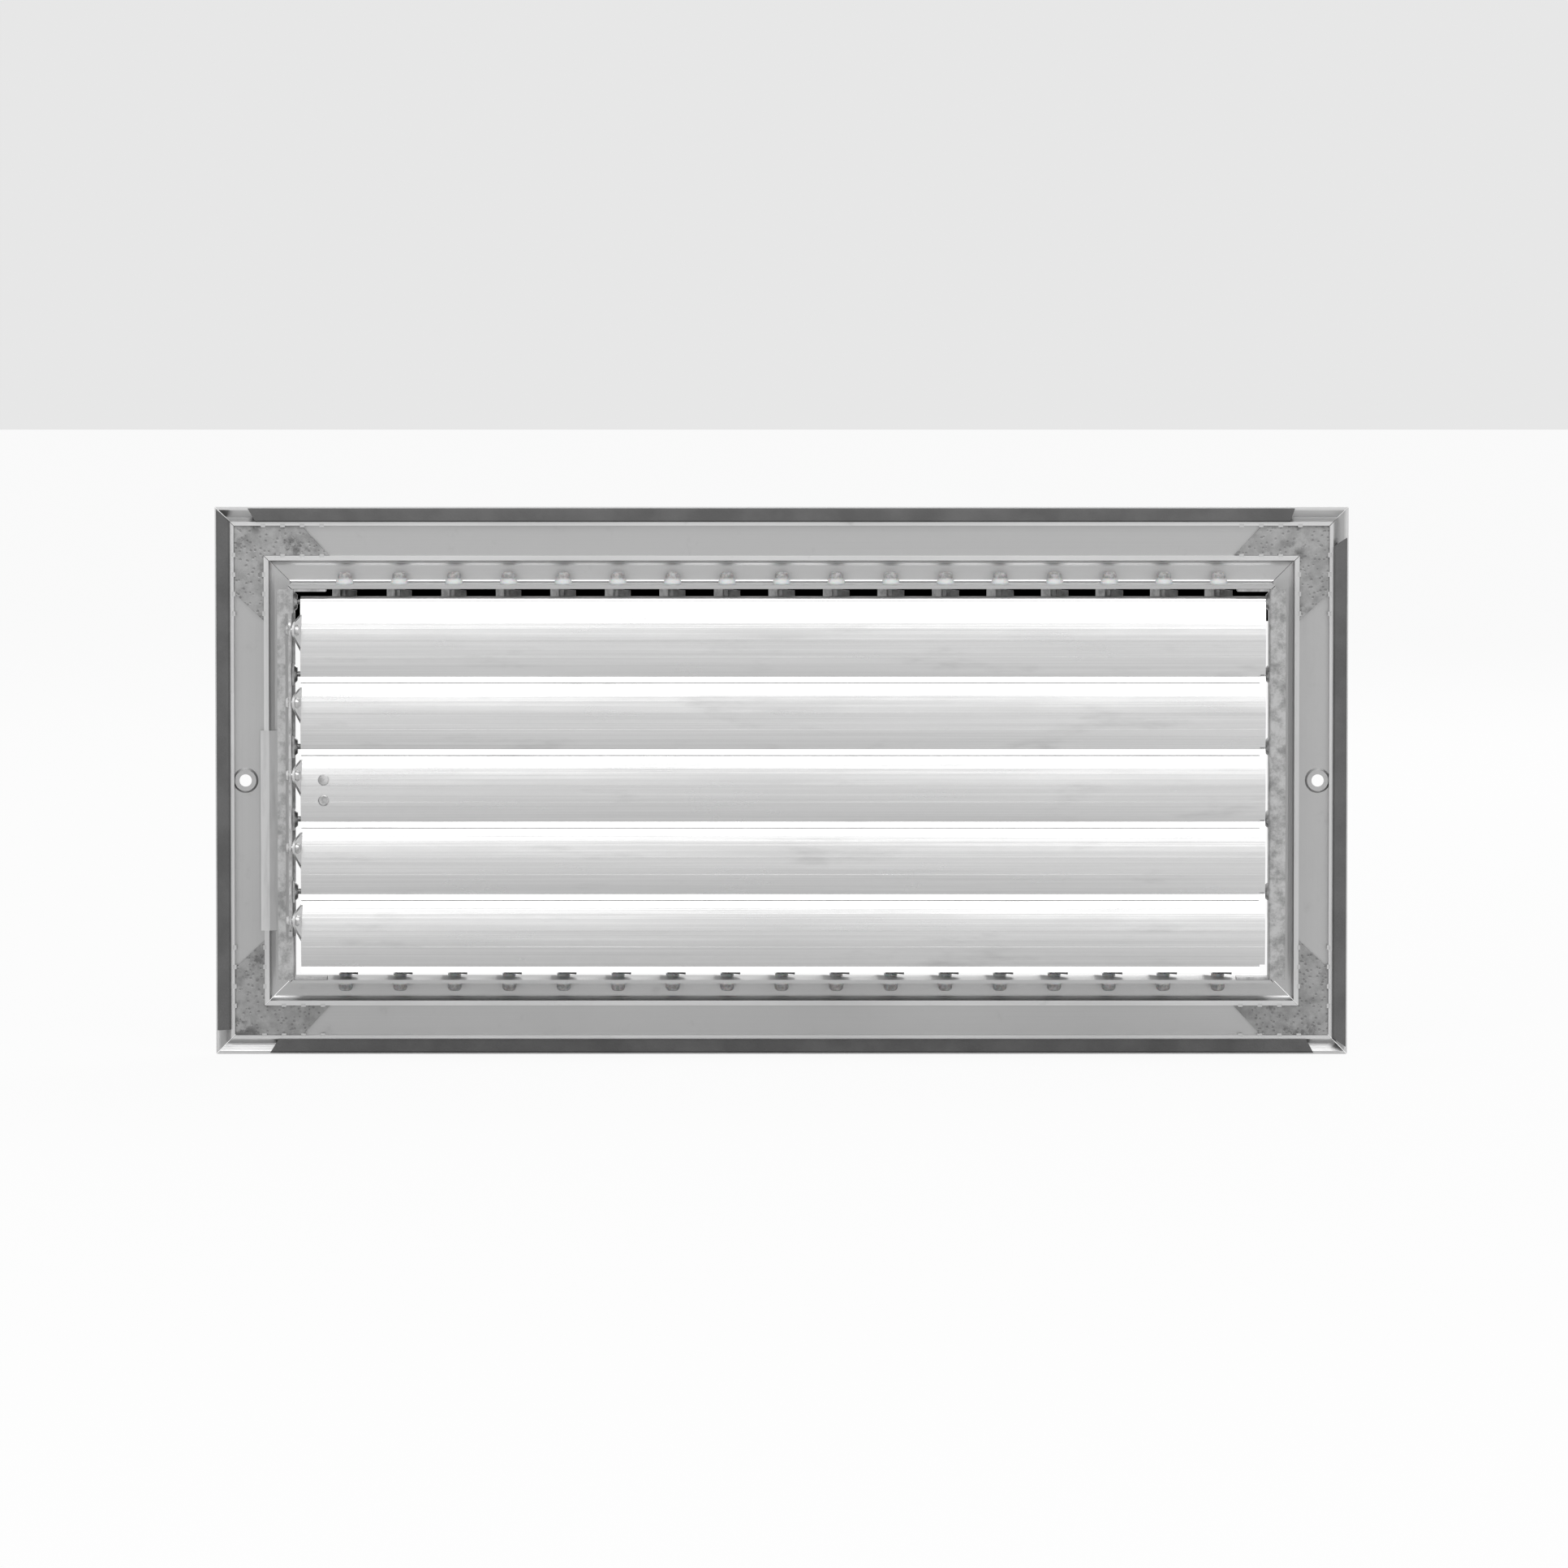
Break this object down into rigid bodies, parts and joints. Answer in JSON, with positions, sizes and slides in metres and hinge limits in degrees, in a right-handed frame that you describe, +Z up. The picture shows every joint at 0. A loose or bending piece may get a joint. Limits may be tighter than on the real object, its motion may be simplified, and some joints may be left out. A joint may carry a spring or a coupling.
{
  "type": "sidewall register",
  "caption": "Aluminium sidewall air register with mitred frame, upright adjustable vanes and a linked shutter damper worked by a lever, seen from the duct side.",
  "frame": {"origin": "centre of the wall opening, on the plane of the wall, midway between the two wall screws", "axes": "+X to the right as seen from the duct, +Y into the room, +Z up; the neck and the damper reach towards -Y"},
  "size_m": [0.3938, 0.054, 0.1906],
  "materials": {
    "frame_aluminium": "mill finish, satin",
    "galvanised_key": "galvanised, mottled",
    "foam_gasket": "matt foam",
    "bushing_nylon": "translucent natural nylon",
    "rail_aluminium": "mill finish, satin",
    "paper_label": "blank paper",
    "vane_aluminium": "mill finish, satin",
    "shutter_aluminium": "bright mill finish",
    "pin_steel": "plain steel",
    "rivet_aluminium": "bright",
    "link_aluminium": "mill finish",
    "lever_steel": "zinc plated"
  },
  "bodies": {
    "frame": {"frame_top": "frame_aluminium", "frame_bottom": "frame_aluminium", "frame_left": "frame_aluminium", "frame_right": "frame_aluminium", "corner_key_top_left": "galvanised_key", "corner_key_top_right": "galvanised_key", "corner_key_bottom_left": "galvanised_key", "corner_key_bottom_right": "galvanised_key", "gasket_top": "foam_gasket", "gasket_bottom": "foam_gasket", "gasket_left": "foam_gasket", "gasket_right": "foam_gasket", "bushings_top": "bushing_nylon", "bushings_bottom": "bushing_nylon", "damper_rail_left": "rail_aluminium", "damper_rail_right": "rail_aluminium", "blank_label": "paper_label"},
    "vane_01_body": {"vane_01": "vane_aluminium"},
    "vane_02_body": {"vane_02": "vane_aluminium"},
    "vane_03_body": {"vane_03": "vane_aluminium"},
    "vane_04_body": {"vane_04": "vane_aluminium"},
    "vane_05_body": {"vane_05": "vane_aluminium"},
    "vane_06_body": {"vane_06": "vane_aluminium"},
    "vane_07_body": {"vane_07": "vane_aluminium"},
    "vane_08_body": {"vane_08": "vane_aluminium"},
    "vane_09_body": {"vane_09": "vane_aluminium"},
    "vane_10_body": {"vane_10": "vane_aluminium"},
    "vane_11_body": {"vane_11": "vane_aluminium"},
    "vane_12_body": {"vane_12": "vane_aluminium"},
    "vane_13_body": {"vane_13": "vane_aluminium"},
    "vane_14_body": {"vane_14": "vane_aluminium"},
    "vane_15_body": {"vane_15": "vane_aluminium"},
    "vane_16_body": {"vane_16": "vane_aluminium"},
    "vane_17_body": {"vane_17": "vane_aluminium"},
    "shutter_1_body": {"shutter_1": "shutter_aluminium", "pivot_pins_1": "pin_steel", "link_rivet_1": "rivet_aluminium"},
    "shutter_2_body": {"shutter_2": "shutter_aluminium", "pivot_pins_2": "pin_steel", "link_rivet_2": "rivet_aluminium"},
    "shutter_3_body": {"shutter_3": "shutter_aluminium", "pivot_pins_3": "pin_steel", "link_rivet_3": "rivet_aluminium", "damper_lever": "lever_steel", "lever_rivets": "rivet_aluminium"},
    "shutter_4_body": {"shutter_4": "shutter_aluminium", "pivot_pins_4": "pin_steel", "link_rivet_4": "rivet_aluminium"},
    "shutter_5_body": {"shutter_5": "shutter_aluminium", "pivot_pins_5": "pin_steel", "link_rivet_5": "rivet_aluminium"},
    "link_body": {"link_bar": "link_aluminium"}
  },
  "joints": [
    {"name": "vane_01_turn", "type": "hinge", "parent": "frame", "child": "vane_01_body", "pos_m": [-0.1516, -0.0035, 0], "axis": [0, 0, 1], "range_deg": [-80, 10]},
    {"name": "vane_02_turn", "type": "hinge", "parent": "frame", "child": "vane_02_body", "pos_m": [-0.13265, -0.0035, 0], "axis": [0, 0, 1], "range_deg": [-80, 10]},
    {"name": "vane_03_turn", "type": "hinge", "parent": "frame", "child": "vane_03_body", "pos_m": [-0.1137, -0.0035, 0], "axis": [0, 0, 1], "range_deg": [-80, 10]},
    {"name": "vane_04_turn", "type": "hinge", "parent": "frame", "child": "vane_04_body", "pos_m": [-0.09475, -0.0035, 0], "axis": [0, 0, 1], "range_deg": [-80, 10]},
    {"name": "vane_05_turn", "type": "hinge", "parent": "frame", "child": "vane_05_body", "pos_m": [-0.0758, -0.0035, 0], "axis": [0, 0, 1], "range_deg": [-80, 10]},
    {"name": "vane_06_turn", "type": "hinge", "parent": "frame", "child": "vane_06_body", "pos_m": [-0.05685, -0.0035, 0], "axis": [0, 0, 1], "range_deg": [-80, 10]},
    {"name": "vane_07_turn", "type": "hinge", "parent": "frame", "child": "vane_07_body", "pos_m": [-0.0379, -0.0035, 0], "axis": [0, 0, 1], "range_deg": [-80, 10]},
    {"name": "vane_08_turn", "type": "hinge", "parent": "frame", "child": "vane_08_body", "pos_m": [-0.01895, -0.0035, 0], "axis": [0, 0, 1], "range_deg": [-80, 10]},
    {"name": "vane_09_turn", "type": "hinge", "parent": "frame", "child": "vane_09_body", "pos_m": [0, -0.0035, 0], "axis": [0, 0, 1], "range_deg": [-80, 10]},
    {"name": "vane_10_turn", "type": "hinge", "parent": "frame", "child": "vane_10_body", "pos_m": [0.01895, -0.0035, 0], "axis": [0, 0, 1], "range_deg": [-80, 10]},
    {"name": "vane_11_turn", "type": "hinge", "parent": "frame", "child": "vane_11_body", "pos_m": [0.0379, -0.0035, 0], "axis": [0, 0, 1], "range_deg": [-80, 10]},
    {"name": "vane_12_turn", "type": "hinge", "parent": "frame", "child": "vane_12_body", "pos_m": [0.05685, -0.0035, 0], "axis": [0, 0, 1], "range_deg": [-80, 10]},
    {"name": "vane_13_turn", "type": "hinge", "parent": "frame", "child": "vane_13_body", "pos_m": [0.0758, -0.0035, 0], "axis": [0, 0, 1], "range_deg": [-80, 10]},
    {"name": "vane_14_turn", "type": "hinge", "parent": "frame", "child": "vane_14_body", "pos_m": [0.09475, -0.0035, 0], "axis": [0, 0, 1], "range_deg": [-80, 10]},
    {"name": "vane_15_turn", "type": "hinge", "parent": "frame", "child": "vane_15_body", "pos_m": [0.1137, -0.0035, 0], "axis": [0, 0, 1], "range_deg": [-80, 10]},
    {"name": "vane_16_turn", "type": "hinge", "parent": "frame", "child": "vane_16_body", "pos_m": [0.13265, -0.0035, 0], "axis": [0, 0, 1], "range_deg": [-80, 10]},
    {"name": "vane_17_turn", "type": "hinge", "parent": "frame", "child": "vane_17_body", "pos_m": [0.1516, -0.0035, 0], "axis": [0, 0, 1], "range_deg": [-80, 10]},
    {"name": "damper_swing", "type": "hinge", "parent": "frame", "child": "shutter_3_body", "pos_m": [0, -0.018, 0.013], "axis": [-1, 0, 0], "range_deg": [0, 80]},
    {"name": "shutter_1_swing", "type": "hinge", "parent": "frame", "child": "shutter_1_body", "pos_m": [0, -0.018, 0.0632], "axis": [-1, 0, 0], "range_deg": [0, 80]},
    {"name": "shutter_2_swing", "type": "hinge", "parent": "frame", "child": "shutter_2_body", "pos_m": [0, -0.018, 0.0381], "axis": [-1, 0, 0], "range_deg": [0, 80]},
    {"name": "shutter_4_swing", "type": "hinge", "parent": "frame", "child": "shutter_4_body", "pos_m": [0, -0.018, -0.0121], "axis": [-1, 0, 0], "range_deg": [0, 80]},
    {"name": "shutter_5_swing", "type": "hinge", "parent": "frame", "child": "shutter_5_body", "pos_m": [0, -0.018, -0.0372], "axis": [-1, 0, 0], "range_deg": [0, 80]},
    {"name": "link_pivot", "type": "hinge", "parent": "shutter_3_body", "child": "link_body", "pos_m": [-0.1695, -0.026, 0.0034], "axis": [-1, 0, 0], "range_deg": [-80, 0]}
  ],
  "couplings": [
    {"joint": "shutter_1_swing", "follows": "damper_swing", "ratio": 1},
    {"joint": "shutter_2_swing", "follows": "damper_swing", "ratio": 1},
    {"joint": "shutter_4_swing", "follows": "damper_swing", "ratio": 1},
    {"joint": "shutter_5_swing", "follows": "damper_swing", "ratio": 1},
    {"joint": "link_pivot", "follows": "damper_swing", "ratio": -1}
  ]
}
